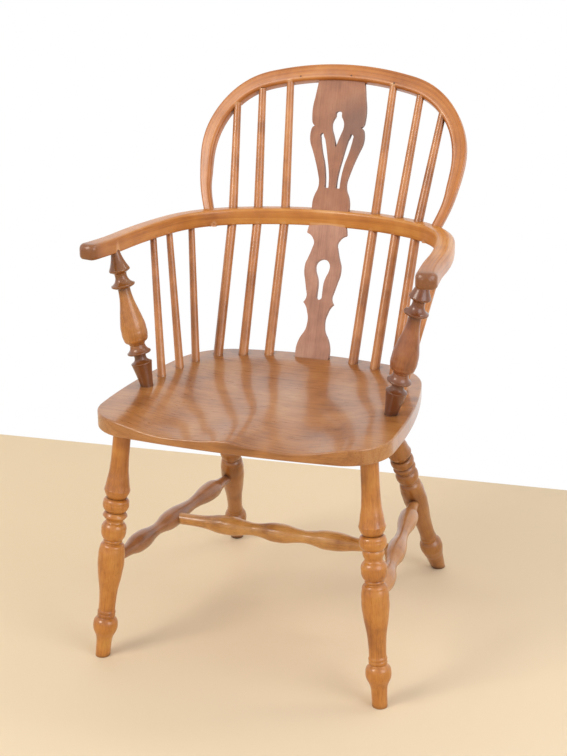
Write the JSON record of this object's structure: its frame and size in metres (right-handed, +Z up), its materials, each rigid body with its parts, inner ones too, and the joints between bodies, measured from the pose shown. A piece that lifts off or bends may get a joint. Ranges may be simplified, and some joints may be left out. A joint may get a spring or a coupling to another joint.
{
  "type": "captains chair",
  "caption": "Double-bow wooden armchair with a saddled plank seat, turned raked legs and stretchers, a spindle back and pierced splats in a bent hoop.",
  "frame": {"origin": "on the floor, under the middle of the whole chair's bounding box", "axes": "+Z up, -Y the way the sitter faces, +X to the right of someone who looks at the chair's front"},
  "size_m": [0.5984, 0.5968, 0.9381],
  "materials": {
    "seat_wood": "waxed satin, side-to-side grain",
    "bent_wood": "waxed satin, grain along the bend",
    "splat_wood": "dull wax, upright grain",
    "turned_wood": "waxed satin, grain along the turning",
    "wedge_wood": "end grain, waxed",
    "pin_wood": "dark end grain"
  },
  "bodies": {
    "root": {"arm_bow": "bent_wood", "arm_post_left": "turned_wood", "arm_post_right": "turned_wood", "back_hoop": "bent_wood", "back_leg_left": "turned_wood", "back_leg_right": "turned_wood", "bow_pins": "pin_wood", "cross_stretcher": "turned_wood", "front_leg_left": "turned_wood", "front_leg_right": "turned_wood", "hoop_pins": "pin_wood", "hoop_wedges": "wedge_wood", "long_spindle_left_1": "turned_wood", "long_spindle_left_2": "turned_wood", "long_spindle_left_3": "turned_wood", "long_spindle_right_1": "turned_wood", "long_spindle_right_2": "turned_wood", "long_spindle_right_3": "turned_wood", "lower_splat": "splat_wood", "seat": "seat_wood", "short_spindle_left_1": "turned_wood", "short_spindle_left_2": "turned_wood", "short_spindle_left_3": "turned_wood", "short_spindle_right_1": "turned_wood", "short_spindle_right_2": "turned_wood", "short_spindle_right_3": "turned_wood", "side_stretcher_left": "turned_wood", "side_stretcher_right": "turned_wood", "upper_splat": "splat_wood"}
  },
  "joints": []
}
